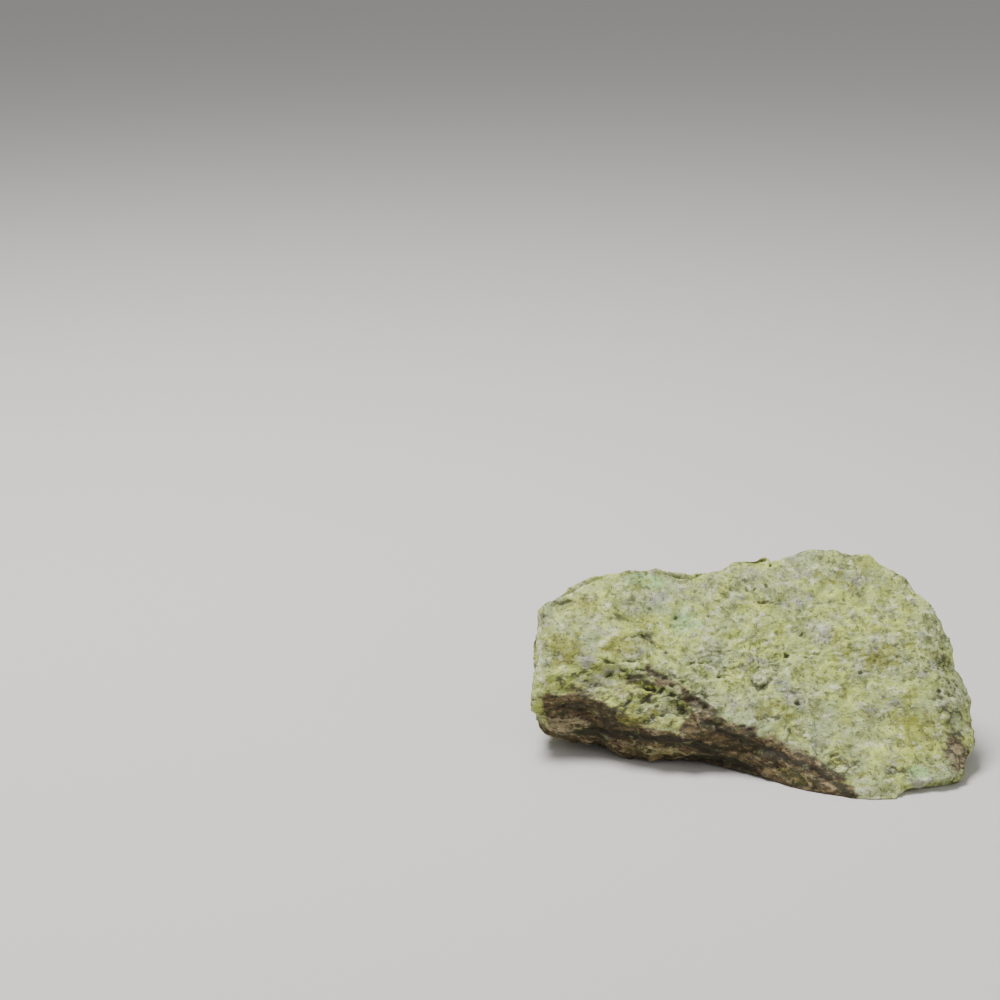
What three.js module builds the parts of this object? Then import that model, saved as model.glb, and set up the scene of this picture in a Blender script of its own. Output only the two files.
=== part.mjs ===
// Jade stone: one rough, layered lump of green nephrite, lying on a small flat of its own.
// Units are millimetres. +X runs along the stone's length, +Z is up, and the broad face looks to -Y.
// The beds of the rock lie parallel to the broad face, so its shape is described on three directions:
// x along the stone, up along the broad face's slope, and deep, square to it and into the rock.
import * as THREE from 'three';
import { ImprovedNoise } from 'three/addons/math/ImprovedNoise.js';
import { mergeVertices } from 'three/addons/utils/BufferGeometryUtils.js';

// Broad face: a bedding surface that rises from the ground at the front to the crest.
const FACE_TILT = THREE.MathUtils.degToRad(40);
const FACE_FOOT_Y = -36.8;
const FACE_SWELL = 0.6;
const FACE_SWELL_LENGTH = 26;

// Foot: near its lowest point the broad face swells forward, as [x, up] of the middle and the reach.
const FOOT_SWELL = 2.7;
const FOOT_SWELL_MIDDLE = [32, 1];
const FOOT_SWELL_REACH = [15, 12];

// Rim of the stone seen square to the broad face, as [x, up], from the left knob over the crest.
const RIM = [
  [-60.9, 32.0], [-59.8, 36.0], [-59.4, 43.5], [-58.9, 52.2], [-57.4, 59.8], [-55.2, 62.6],
  [-49.6, 65.4], [-43.2, 69.6], [-34.2, 71.5], [-22.0, 72.2], [-14.5, 70.3], [-6.3, 72.0],
  [-2.8, 73.9], [3.8, 75.8], [7.6, 76.1], [8.8, 73.6], [11.2, 76.6], [19.9, 79.0],
  [23.6, 81.1], [28.0, 79.4], [31.0, 76.8], [36.8, 77.4], [41.4, 74.0], [44.6, 72.4],
  [48.2, 69.4], [49.6, 65.4], [52.4, 63.4], [54.4, 60.2], [58.4, 56.4], [60.2, 50.2],
  [59.4, 42.4], [63.0, 37.0], [63.4, 29.0], [62.4, 20.0], [59.4, 12.0], [57.2, 8.4],
  [50.8, 5.4], [45.2, 4.2], [41.0, 2.8], [38.6, 1.0], [38.0, -2.6], [35.0, -5.0], [-40.0, -5.0],
  [-52.0, 20.0], [-55.2, 25.6], [-57.0, 29.2],
];
const SIDE_TUCK = 0.1;
const SIDE_TUCK_DEPTH = 8;

// Right end: the rim is broken off to a bevel that leaves the broad face at this x.
const BEVEL_RIM_X = 53;
const BEVEL_RUN = 1.5;

// Shelf: below this line the top bed has flaked off, down to the next one, as [x, up].
const SHELF_LINE = [
  [-62, 35.0], [-50, 39.4], [-38.6, 42.6], [-30.2, 41.0], [-20.5, 32.4], [-10.9, 23.6], [-5, 20],
];
const SHELF_DROP = 2.2;
const SHELF_EDGE = 4.5;
const SHELF_RAGGED = 4.0;
const SHELF_RAGGED_LENGTH = 8;
const SHELF_END_X = -8;
const SHELF_END_FADE = 8;

// Front wall, from left to right: at each x, the [y, z] of its brow, groove, belly and lower edge.
const FRONT = [
  { x: -64, line: [[-11.0, 18.3], [-7.6, 14.4], [-7.4, 9.8], [-4.5, 7.4]] },
  { x: -55, line: [[-10.4, 18.9], [-7.0, 14.6], [-8.4, 9.0], [-7.0, 6.0]] },
  { x: -50, line: [[-10.0, 19.2], [-6.6, 14.4], [-8.6, 8.0], [-6.6, 3.7]] },
  { x: -42, line: [[-11.4, 17.8], [-8.4, 13.0], [-8.8, 7.4], [-5.6, 2.2]] },
  { x: -35, line: [[-16.2, 13.8], [-13.4, 10.4], [-13.2, 6.4], [-9.8, 1.4]] },
  { x: -27, line: [[-18.8, 11.6], [-16.4, 8.6], [-17.0, 5.4], [-14.2, 1.4]] },
  { x: -18, line: [[-20.2, 11.0], [-19.0, 8.4], [-18.0, 5.0], [-12.9, 1.1]] },
  { x: -10, line: [[-18.8, 14.7], [-19.2, 10.6], [-20.2, 6.4], [-16.3, 0.9]] },
  { x: -3, line: [[-20.5, 13.4], [-21.0, 9.2], [-22.4, 5.2], [-20.8, 0.4]] },
  { x: 5, line: [[-23.4, 11.2], [-24.2, 7.8], [-26.0, 4.0], [-26.2, 0.3]] },
  { x: 12, line: [[-26.0, 8.9], [-28.0, 5.8], [-30.4, 3.0], [-31.6, 0.2]] },
  { x: 18, line: [[-29.2, 6.2], [-31.0, 4.2], [-32.8, 2.0], [-34.2, 0.1]] },
  { x: 24, line: [[-34.2, 4.6], [-35.6, 3.2], [-36.6, 1.6], [-37.0, 0.0]] },
  { x: 29, line: [[-37.4, 4.0], [-38.0, 2.8], [-38.3, 1.4], [-38.3, 0.0]] },
  { x: 36, line: [[-37.8, 4.0], [-38.4, 2.8], [-38.6, 1.4], [-38.4, 0.0]] },
  { x: 66, line: [[-46.0, 4.0], [-46.0, 2.8], [-46.0, 1.4], [-46.0, 0.0]] },
];
const BROW_RISE = 0.35;
const TOE_LIFT_REACH = 11;

// Breaks of the back and the underside, each the plane through three points of it.
const BREAKS = {
  backHigh: [[-30, 29, 34], [30, 35, 34], [0, 38.4, 18]],
  backLow: [[-20, 36.6, 18], [30, 37.6, 16], [0, 27, 0]],
  backLeft: [[-61, 11, 24], [-42, 31, 28], [-50, 26, 4]],
  backRight: [[61, -2, 24], [45, 29, 28], [50, 22, 5]],
  lowLeft: [[-60.3, -8, 15.2], [-57.4, -8, 7.0], [-59.0, 8, 11.0]],
  underLeft: [[-60, 0, 6.4], [-60, 20, 8.5], [-33, 0, 0]],
  underRight: [[62, 0, 4.6], [62, 20, 7.5], [42, 0, 0]],
};

// Beds: ledges that run round the side walls, parallel to the broad face.
const BED_THICKNESS = 4.2;
const BED_STEP = 1.3;
const BED_STEP_LENGTH = 23;
const BED_WANDER = 0.35;
const BED_WANDER_LENGTH = 40;
const BED_RISER = 0.45;

// Roughness of the broken walls and of the smoother broad face, as [height, length] of each wave.
const WALL_ROUGHNESS = [[1.3, 19], [0.7, 8.5]];
const FACE_ROUGHNESS = [[0.35, 11], [0.2, 5.5]];
const RELIEF_AT_FACE = 0.25;
const EDGE_ROUNDING = 1.6;

// Which slice of the noise each form follows, and how far from bed to bed the slices lie.
const SLICE = { swell: 0.5, wander: 2.5, shelf: 3.5, bed: 0.4 };
const NEXT_BED = { x: 7.3, slice: 1.7 };

// Mesh: a sphere's points sent out from the core to the surface, then evened out along it.
const CORE = new THREE.Vector3(0, 1, 19);
const RAY_SPREAD = new THREE.Vector3(60, 38, 27);
const RAY_REACH = 100;
const RAY_DETAIL = 20;
const RAY_STEPS = 26;
const EVENING_ROUNDS = 30;
const EVENING_SHARE = 0.6;
const SETTLING_STEPS = 4;
const EDGE_ROUNDS = 6;
const EDGE_HOLD = 0.1;
const EDGE_PULL_LIMIT = 2.5;
const UNFOLDING_ROUNDS = 40;
const FOLD_COSINE = 0.1;
const SLOPE_STEP = 0.05;
const SLOPE_FLOOR = 0.5;
const SAME_POINT = 1e-5;
const FLAT_TOLERANCE = 0.03;

const JADE = new THREE.MeshStandardMaterial({ name: 'jade', color: 0xa9ad78, roughness: 0.72, metalness: 0 });

const noise = new ImprovedNoise();

/** Sum of noise waves at a point; each wave is [height, length]. */
function roughness(waves, p) {
  let sum = 0;
  for (const [height, length] of waves) {
    sum += height * noise.noise(p.x / length + height, p.y / length + 3 * height, p.z / length);
  }
  return sum;
}

/** The larger of two distances, with the edge between them rounded. */
function roundedMax(a, b, rounding = EDGE_ROUNDING) {
  const overlap = Math.max(rounding - Math.abs(a - b), 0) / rounding;
  return Math.max(a, b) + overlap * overlap * rounding / 4;
}

/** Value of a line of [position, value] points at a position, level beyond its two ends. */
function along(line, position) {
  if (position <= line[0][0]) return line[0][1];
  for (let i = 1; i < line.length; i++) {
    const [start, from] = line[i - 1];
    const [end, to] = line[i];
    if (position <= end) return from + (to - from) * (position - start) / (end - start);
  }
  return line[line.length - 1][1];
}

/** Where a point lies on the slope of the broad face: x, up the slope, and deep behind it. */
function toBeds(p) {
  const back = p.y - FACE_FOOT_Y;
  const cos = Math.cos(FACE_TILT);
  const sin = Math.sin(FACE_TILT);
  return { x: p.x, up: back * cos + p.z * sin, deep: back * sin - p.z * cos };
}

/** Distance of [x, up] from the rim, below zero inside it. */
function rimDistance(x, up) {
  let nearest = Infinity;
  let inside = false;
  for (let i = 0, j = RIM.length - 1; i < RIM.length; j = i++) {
    const [ax, aup] = RIM[i];
    const [bx, bup] = RIM[j];
    const ex = bx - ax;
    const eup = bup - aup;
    const share = THREE.MathUtils.clamp(((x - ax) * ex + (up - aup) * eup) / (ex * ex + eup * eup), 0, 1);
    nearest = Math.min(nearest, Math.hypot(x - ax - ex * share, up - aup - eup * share));
    if ((aup > up) !== (bup > up) && x < ax + ex * (up - aup) / eup) inside = !inside;
  }
  return inside ? -nearest : nearest;
}

/** How far the broad face swells forward near its foot. */
function footSwell(x, up) {
  const [middleX, middleUp] = FOOT_SWELL_MIDDLE;
  const [reachX, reachUp] = FOOT_SWELL_REACH;
  const away = Math.hypot((x - middleX) / reachX, (up - middleUp) / reachUp);
  return FOOT_SWELL * (1 - THREE.MathUtils.smoothstep(away, 0, 1));
}

/** How far the broad face lies below its plane at [x, up]: the flaked shelf, a slow swell and the foot. */
function faceDepth(x, up) {
  const ragged = SHELF_RAGGED * noise.noise(x / SHELF_RAGGED_LENGTH, up / SHELF_RAGGED_LENGTH, SLICE.shelf);
  const below = along(SHELF_LINE, x) - up + ragged;
  const flaked = THREE.MathUtils.smoothstep(below, 0, SHELF_EDGE);
  const fade = THREE.MathUtils.smoothstep(SHELF_END_X - x, 0, SHELF_END_FADE);
  const swell = FACE_SWELL * noise.noise(x / FACE_SWELL_LENGTH, up / FACE_SWELL_LENGTH, SLICE.swell);
  return SHELF_DROP * flaked * fade + swell - footSwell(x, up);
}

/** How far the ledges of the beds stand out of the side walls at a point. */
function bedLedge(bed) {
  const [alongX, alongUp] = [bed.x / BED_WANDER_LENGTH, bed.up / BED_WANDER_LENGTH];
  const wander = BED_WANDER * noise.noise(alongX, alongUp, SLICE.wander);
  const layer = bed.deep / BED_THICKNESS + wander;
  const index = Math.floor(layer);
  const reach = (k) => noise.noise(
    bed.x / BED_STEP_LENGTH + NEXT_BED.x * k,
    bed.up / BED_STEP_LENGTH,
    SLICE.bed + NEXT_BED.slice * k,
  );
  const riser = THREE.MathUtils.smoothstep(layer - index, 1 - BED_RISER, 1);
  return BED_STEP * THREE.MathUtils.lerp(reach(index), reach(index + 1), riser);
}

/** The front wall's section at x: its brow, groove, belly and lower edge as [y, z]. */
function frontSection(x) {
  const next = Math.max(FRONT.findIndex((station) => station.x >= x), 1);
  const from = FRONT[next - 1];
  const to = FRONT[next];
  const share = (x - from.x) / (to.x - from.x);
  return from.line.map(([y, z], i) => [
    THREE.MathUtils.lerp(y, to.line[i][0], share),
    THREE.MathUtils.lerp(z, to.line[i][1], share),
  ]);
}

/** Distance in front of the front wall, and the height of the underside just behind its lower edge. */
function frontWall(p) {
  const section = frontSection(THREE.MathUtils.clamp(p.x, FRONT[0].x + 1, FRONT[FRONT.length - 1].x - 1));
  const [browY, browZ] = section[0];
  const [toeY, toeZ] = section[section.length - 1];
  const wallY = p.z > browZ
    ? browY - BROW_RISE * (p.z - browZ)
    : along(section.map(([y, z]) => [z, y]).reverse(), p.z);
  const behindToe = THREE.MathUtils.clamp((p.y - toeY) / TOE_LIFT_REACH, 0, 1);
  return { distance: wallY - p.y, lift: toeZ * (1 - behindToe) };
}

/** Plane through three points, facing away from the stone's core. */
function breakPlane(points) {
  const corners = points.map((point) => new THREE.Vector3(...point));
  const plane = new THREE.Plane().setFromCoplanarPoints(...corners);
  return plane.distanceToPoint(CORE) > 0 ? plane.negate() : plane;
}

const breakPlanes = Object.values(BREAKS).map(breakPlane);

/** Distance from the stone's surface, below zero inside the rock. */
function stoneDistance(p) {
  const bed = toBeds(p);
  const face = faceDepth(bed.x, bed.up) - bed.deep + roughness(FACE_ROUGHNESS, p);
  const tuck = SIDE_TUCK * Math.max(bed.deep - SIDE_TUCK_DEPTH, 0);
  const side = rimDistance(bed.x, bed.up) + tuck;
  const bevel = (bed.x - BEVEL_RIM_X - BEVEL_RUN * bed.deep) / Math.hypot(1, BEVEL_RUN);
  const front = frontWall(p);
  const relief = roughness(WALL_ROUGHNESS, p) + bedLedge(bed);
  let walls = roundedMax(side, front.distance);
  for (const plane of breakPlanes) walls = roundedMax(walls, plane.distanceToPoint(p));
  const grain = THREE.MathUtils.smoothstep(bed.deep, 0, BED_THICKNESS);
  walls = roundedMax(walls + relief * THREE.MathUtils.lerp(RELIEF_AT_FACE, 1, grain), bevel);
  const body = roundedMax(walls, face);
  return Math.max(body, front.lift - p.z, -p.z);
}

/** Point where a ray from the core leaves the stone. */
function surfacePoint(direction) {
  let inside = 0;
  let outside = RAY_REACH;
  const point = new THREE.Vector3();
  for (let step = 0; step < RAY_STEPS; step++) {
    const middle = (inside + outside) / 2;
    point.copy(direction).multiplyScalar(middle).add(CORE);
    if (stoneDistance(point) < 0) inside = middle;
    else outside = middle;
  }
  return point;
}

/** Slope of the distance at a point, the way out of the rock. */
function outwardSlope(p) {
  const slope = new THREE.Vector3();
  for (const axis of ['x', 'y', 'z']) {
    const ahead = p.clone();
    const behind = p.clone();
    ahead[axis] += SLOPE_STEP;
    behind[axis] -= SLOPE_STEP;
    slope[axis] = (stoneDistance(ahead) - stoneDistance(behind)) / (2 * SLOPE_STEP);
  }
  return slope;
}

/** Moves a point straight onto the surface. */
function settle(p, steps) {
  for (let step = 0; step < steps; step++) {
    const slope = outwardSlope(p);
    p.addScaledVector(slope, -stoneDistance(p) / Math.max(slope.lengthSq(), SLOPE_FLOOR));
  }
}

/** For each point of a mesh, the points that share an edge with it. */
function neighbours(geometry) {
  const around = Array.from({ length: geometry.getAttribute('position').count }, () => new Set());
  const index = geometry.index.array;
  for (let i = 0; i < index.length; i += 3) {
    for (let k = 0; k < 3; k++) {
      around[index[i + k]].add(index[i + (k + 1) % 3]);
      around[index[i + (k + 1) % 3]].add(index[i + k]);
    }
  }
  return around.map((set) => [...set]);
}

/** Spreads points evenly over the surface: each slides towards the middle of its neighbours. */
function evenOut(points, around) {
  for (let round = 0; round < EVENING_ROUNDS; round++) {
    const middles = around.map((near) => {
      const middle = new THREE.Vector3();
      for (const k of near) middle.add(points[k]);
      return middle.divideScalar(near.length);
    });
    points.forEach((point, i) => {
      point.lerp(middles[i], EVENING_SHARE);
      settle(point, 1);
    });
  }
}

/**
 * Draws points near an edge of the rock onto it: each moves to where the surfaces
 * at its neighbours would meet, held back a little towards its own place.
 */
function gatherOnEdges(points, around) {
  const normals = points.map((point) => outwardSlope(point).normalize());
  const moved = around.map((near, i) => {
    const sum = new THREE.Matrix3().set(EDGE_HOLD, 0, 0, 0, EDGE_HOLD, 0, 0, 0, EDGE_HOLD);
    const goal = points[i].clone().multiplyScalar(EDGE_HOLD);
    for (const k of [...near, i]) {
      const { x, y, z } = normals[k];
      const outer = [x * x, x * y, x * z, x * y, y * y, y * z, x * z, y * z, z * z];
      outer.forEach((value, at) => { sum.elements[at] += value; });
      goal.addScaledVector(normals[k], normals[k].dot(points[k]));
    }
    const target = goal.applyMatrix3(sum.invert());
    return target.sub(points[i]).clampLength(0, EDGE_PULL_LIMIT).add(points[i]);
  });
  points.forEach((point, i) => point.copy(moved[i]));
}

/** Unit normals of a mesh's triangles. */
function triangleNormals(points, index) {
  const normals = [];
  for (let i = 0; i < index.length; i += 3) {
    const [a, b, c] = [points[index[i]], points[index[i + 1]], points[index[i + 2]]];
    normals.push(new THREE.Triangle(a, b, c).getNormal(new THREE.Vector3()));
  }
  return normals;
}

/** Opens small folds: the corners of a triangle that turns back on its neighbours move between theirs. */
function openFolds(points, index, around) {
  for (let round = 0; round < UNFOLDING_ROUNDS; round++) {
    const normals = triangleNormals(points, index);
    const means = points.map(() => new THREE.Vector3());
    index.forEach((corner, at) => means[corner].add(normals[Math.floor(at / 3)]));
    const folded = new Set();
    index.forEach((corner, at) => {
      const normal = normals[Math.floor(at / 3)];
      if (normal.dot(means[corner].clone().normalize()) < FOLD_COSINE) folded.add(corner);
    });
    for (const i of folded) {
      const middle = new THREE.Vector3();
      for (const k of around[i]) middle.add(points[k]);
      points[i].lerp(middle.divideScalar(around[i].length), EVENING_SHARE);
    }
  }
}

/** The whole stone as one closed mesh, standing on z = 0 and centred on its length and depth. */
function stoneGeometry() {
  const sphere = new THREE.IcosahedronGeometry(1, RAY_DETAIL);
  sphere.deleteAttribute('normal');
  sphere.deleteAttribute('uv');
  const geometry = mergeVertices(sphere, SAME_POINT);
  const position = geometry.getAttribute('position');
  const points = [];
  for (let i = 0; i < position.count; i++) {
    const direction = new THREE.Vector3().fromBufferAttribute(position, i);
    points.push(surfacePoint(direction.multiply(RAY_SPREAD).normalize()));
  }
  const around = neighbours(geometry);
  evenOut(points, around);
  for (let round = 0; round < EDGE_ROUNDS; round++) {
    gatherOnEdges(points, around);
    points.forEach((point) => settle(point, SETTLING_STEPS));
  }
  openFolds(points, Array.from(geometry.index.array), around);
  points.forEach((point, i) => {
    position.setXYZ(i, point.x, point.y, point.z < FLAT_TOLERANCE ? 0 : point.z);
  });
  geometry.computeBoundingBox();
  const centre = geometry.boundingBox.getCenter(new THREE.Vector3());
  geometry.translate(-centre.x, -centre.y, 0);
  geometry.computeVertexNormals();
  return geometry;
}

/** The stone's mesh, named and coloured. */
function buildStone() {
  const stone = new THREE.Mesh(stoneGeometry(), JADE);
  stone.name = 'jade_stone';
  return stone;
}

const jadeStone = new THREE.Group();
jadeStone.add(buildStone());

export default jadeStone;
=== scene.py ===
"""Rough jade stone: its broken surface, its colours, and the studio it is shown in.

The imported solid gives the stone's form. Its surface is made finer here: the facets are
divided and eased, then beds, flakes, pits and cracks are cut into them. Lengths in this
file are millimetres unless a name says otherwise, and the finished mesh is in metres.
"""
import logging
import math
from dataclasses import dataclass, field
from enum import Enum

import bmesh
import bpy
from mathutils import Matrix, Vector, noise


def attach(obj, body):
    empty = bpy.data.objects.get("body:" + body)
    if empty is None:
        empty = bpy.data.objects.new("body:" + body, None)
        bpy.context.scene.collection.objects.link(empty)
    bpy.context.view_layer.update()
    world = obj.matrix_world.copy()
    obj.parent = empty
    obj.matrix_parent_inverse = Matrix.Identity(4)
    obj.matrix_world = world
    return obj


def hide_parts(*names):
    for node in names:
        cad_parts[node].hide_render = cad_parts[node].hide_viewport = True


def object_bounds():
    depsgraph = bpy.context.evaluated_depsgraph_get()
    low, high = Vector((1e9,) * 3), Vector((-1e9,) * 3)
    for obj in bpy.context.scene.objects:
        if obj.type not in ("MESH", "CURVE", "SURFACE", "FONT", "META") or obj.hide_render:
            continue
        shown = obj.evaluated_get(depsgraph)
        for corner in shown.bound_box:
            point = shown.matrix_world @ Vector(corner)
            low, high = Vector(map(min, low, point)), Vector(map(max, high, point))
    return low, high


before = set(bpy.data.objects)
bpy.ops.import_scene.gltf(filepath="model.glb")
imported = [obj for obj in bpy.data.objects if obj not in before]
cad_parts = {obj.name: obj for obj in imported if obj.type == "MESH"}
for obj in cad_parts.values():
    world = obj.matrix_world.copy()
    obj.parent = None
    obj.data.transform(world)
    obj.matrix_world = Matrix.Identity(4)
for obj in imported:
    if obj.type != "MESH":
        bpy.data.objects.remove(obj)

CAD_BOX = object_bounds()
MM = 0.001

# How deep below the broad face the marks placed on it, and its crumbled parts, still count.
MARKED_DEPTH = 6.0
RUBBLE_DEPTH = 7.0

# Which slices of the noise the large and the small flakes follow.
FLAKE_SLICE = 1.9
SCALE_SLICE = 6.3

# Numbers of a colour mix node's sockets, whose names are not unique.
MIX_SHARE, MIX_FIRST, MIX_SECOND, MIX_RESULT = 0, 6, 7, 2

log = logging.getLogger("jade_stone")

Colour = tuple[float, float, float]
Points = tuple[tuple[float, float], ...]


def smooth_step(value: float, low: float, high: float) -> float:
    """Ease a value from 0 at low to 1 at high.

    Args:
        value: the number to ease.
        low: where the result starts to rise.
        high: where the result reaches one.

    Returns:
        A number from 0 to 1.
    """
    share = min(max((value - low) / (high - low), 0.0), 1.0)
    return share * share * (3.0 - 2.0 * share)


def linear(red: int, green: int, blue: int) -> Colour:
    """Turn a colour as seen on a screen, 0 to 255, into the light values a shader takes.

    Args:
        red: red, 0 to 255.
        green: green, 0 to 255.
        blue: blue, 0 to 255.

    Returns:
        The colour in linear light.
    """
    return tuple(((part / 255.0 + 0.055) / 1.055) ** 2.4 for part in (red, green, blue))


class Mark(Enum):
    """The masks that the stone's surface carries for its colours."""

    STAIN_AND_SHADE = "stain_and_shade"
    SHADE = "shade"
    TAN = "tan"
    CRACK = "crack"
    EDGE = "edge"
    HOLLOW = "hollow"
    OLIVE = "olive"
    LILAC = "lilac"
    PALE = "pale"
    MINT = "mint"
    WALL = "wall"
    RUBBLE = "rubble"


class Chart(Enum):
    """The two ways that a mark's place on the stone is given."""

    FACE = "x and up the slope of the beds"
    FRONT = "x and height above the ground"


@dataclass(frozen=True)
class Beds:
    """The rock's beds, which lie parallel to the broad face.

    Attributes:
        tilt_deg: slope of the beds, from level.
        foot_y: where the broad face's plane meets the ground.
    """

    tilt_deg: float = 40.0
    foot_y: float = -37.79

    def place(self, point: Vector) -> Vector:
        """Place of a point on the beds.

        Args:
            point: a point in the stone's frame.

        Returns:
            x along the stone, up the slope of the beds, and deep below the broad face.
        """
        tilt = math.radians(self.tilt_deg)
        back = point.y - self.foot_y
        up = back * math.cos(tilt) + point.z * math.sin(tilt)
        deep = back * math.sin(tilt) - point.z * math.cos(tilt)
        return Vector((point.x, up, deep))

    def outward(self, normal: Vector) -> float:
        """How far a surface normal points square out of the beds, from -1 to 1."""
        tilt = math.radians(self.tilt_deg)
        return normal.z * math.cos(tilt) - normal.y * math.sin(tilt)


@dataclass(frozen=True)
class Patch:
    """A soft patch of the stone's surface.

    Attributes:
        x: middle along the stone.
        up: middle up the slope, or its height on the front.
        half_x: half its length along the stone.
        half_up: half its length the other way.
        strength: its mask at the middle.
        chart: how its place is given.
    """

    x: float
    up: float
    half_x: float
    half_up: float
    strength: float = 1.0
    chart: Chart = Chart.FACE

    def mask(self, x: float, up: float) -> float:
        """Mask of the patch at a place on its chart, 0 outside it."""
        away = math.hypot((x - self.x) / self.half_x, (up - self.up) / self.half_up)
        return self.strength * (1.0 - smooth_step(away, 0.3, 1.3))


@dataclass(frozen=True)
class Line:
    """A crack, a seam or a streak along a line of corners.

    Attributes:
        corners: its corners, as x and up, or x and height on the front.
        width: half its width.
        strength: its mask at the middle, or for a crack its depth.
        chart: how its place is given.
    """

    corners: Points
    width: float
    strength: float = 1.0
    chart: Chart = Chart.FACE

    def nearness(self, x: float, up: float) -> float:
        """How near a place on its chart is to the line.

        Args:
            x: the place along the stone.
            up: its place up the slope, or its height on the front.

        Returns:
            1 on the line, falling to 0 at its width and beyond.
        """
        nearest = self.width
        for (ax, aup), (bx, bup) in zip(self.corners, self.corners[1:]):
            if not min(ax, bx) - self.width < x < max(ax, bx) + self.width:
                continue
            run_x, run_up = bx - ax, bup - aup
            along = ((x - ax) * run_x + (up - aup) * run_up) / (run_x ** 2 + run_up ** 2)
            along = min(max(along, 0.0), 1.0)
            nearest = min(nearest, math.hypot(x - ax - run_x * along, up - aup - run_up * along))
        return 1.0 - nearest / self.width

    def mask(self, x: float, up: float) -> float:
        """Mask of the line at a place on its chart, 0 outside it."""
        return self.strength * smooth_step(self.nearness(x, up), 0.0, 0.7)


BROW: Points = (
    (-70.0, 33.0), (-60.5, 32.5), (-53.8, 32.4), (-49.6, 34.1), (-45.4, 32.2), (-41.3, 29.5),
    (-38.6, 27.2), (-31.8, 23.6), (-27.6, 21.4), (-21.6, 20.2), (-19.4, 23.8), (-17.0, 26.4),
    (-15.2, 25.8), (-9.8, 23.2), (-4.3, 21.4), (-1.1, 20.2), (3.1, 18.3), (7.7, 15.9),
    (11.6, 14.2), (14.8, 12.4), (16.8, 10.0), (19.3, 7.7), (23.1, 4.7), (24.7, 2.2), (28.0, -3.0),
)

CRACKS: tuple[Line, ...] = (
    Line(((-41.6, 42.2), (-38.4, 41.9)), 0.9, 1.0),
    Line(((-36.4, 42.0), (-32.9, 42.2)), 0.9, 1.0),
    Line(((-34.2, 50.2), (-31.0, 50.6), (-28.4, 49.2), (-26.2, 46.6)), 1.0, 0.95),
    Line(((-34.6, 37.4), (-32.0, 39.4), (-29.6, 39.8), (-26.4, 37.6)), 1.1, 1.0),
    Line(((-40.4, 38.4), (-37.6, 39.8), (-35.2, 38.8)), 0.9, 0.9),
    Line(((-31.6, 29.4), (-28.4, 32.4), (-25.2, 33.6), (-22.0, 31.6)), 1.0, 1.0),
    Line(((-38.8, 27.0), (-35.0, 29.4), (-31.4, 31.6)), 1.0, 1.1),
    Line(((-29.4, 31.0), (-26.6, 29.2), (-25.0, 26.8)), 1.0, 1.0),
    Line(((-35.2, 33.2), (-31.4, 35.2), (-27.4, 33.4)), 1.0, 1.0),
    Line(((-44.6, 36.2), (-41.4, 35.4), (-39.4, 33.6)), 0.9, 0.8),
    Line(((-24.8, 37.0), (-21.8, 35.4), (-18.6, 35.8)), 0.8, 0.7),
    Line(((-17.6, 29.9), (-14.6, 28.4), (-12.2, 25.8)), 1.2, 0.8),
    Line(((-18.0, 41.0), (-14.3, 41.5), (-9.9, 40.9)), 0.7, 0.6),
    Line(((15.0, 43.2), (18.2, 44.4), (21.8, 44.0)), 0.7, 0.6),
    Line(((-3.9, 61.2), (0.2, 62.4), (2.4, 60.9)), 0.6, 0.5),
    Line(((3.4, 60.9), (6.4, 61.7), (9.2, 60.7)), 0.8, 0.7),
    Line(((9.7, 48.7), (10.1, 44.0), (9.9, 39.3)), 0.7, 0.3),
    Line(((0.0, 35.9), (1.5, 33.1), (4.6, 35.7)), 1.5, 1.1),
    Line(((20.1, 12.4), (22.7, 13.9), (25.6, 11.8)), 1.0, 1.1),
    Line(((31.0, 31.4), (33.2, 29.0)), 1.2, 0.6),
    Line(((36.0, 30.2), (38.4, 27.2)), 1.1, 0.6),
    Line(((51.6, 50.0), (52.4, 39.9), (52.0, 29.8), (51.6, 20.5)), 0.8, 0.4),
    Line(((54.8, 46.0), (55.4, 36.0), (55.0, 24.0)), 0.8, 0.4),
    Line(((-55.4, 60.4), (-51.8, 61.6)), 1.1, 0.7),
    Line(((-4.4, 65.2), (0.0, 65.4), (5.9, 66.5)), 0.7, 0.5),
    Line(((-38.5, 57.6), (-30.9, 52.5), (-25.5, 47.0), (-21.5, 41.5)), 1.0, 0.75),
    Line(((40.2, 10.6), (40.6, 8.2), (40.4, 4.8)), 0.9, 0.7),
)

PITS: Points = (
    (-4.4, 65.4), (-0.2, 65.5), (2.9, 66.1), (5.8, 66.7), (41.1, 58.6), (-50.8, 61.7), (14.4, 50.5),
    (9.9, 44.0), (12.0, 28.6), (-20.4, 56.4), (27.6, 62.2), (-45.4, 56.0), (-47.6, 44.0), (30.2, 38.4),
)

RUBBLE: tuple[Patch, ...] = (
    Patch(-34.0, 31.0, 16.0, 9.0), Patch(-22.0, 30.0, 12.0, 9.0), Patch(-46.0, 36.5, 10.0, 4.5, 0.8),
    Patch(-14.0, 27.0, 6.0, 5.0, 0.8), Patch(22.0, 11.0, 9.0, 6.0, 0.7), Patch(55.0, 24.0, 5.0, 26.0, 0.7),
    Patch(34.0, 8.0, 9.0, 5.0, 0.5), Patch(6.0, 22.0, 9.0, 4.0, 0.5),
)

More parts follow.
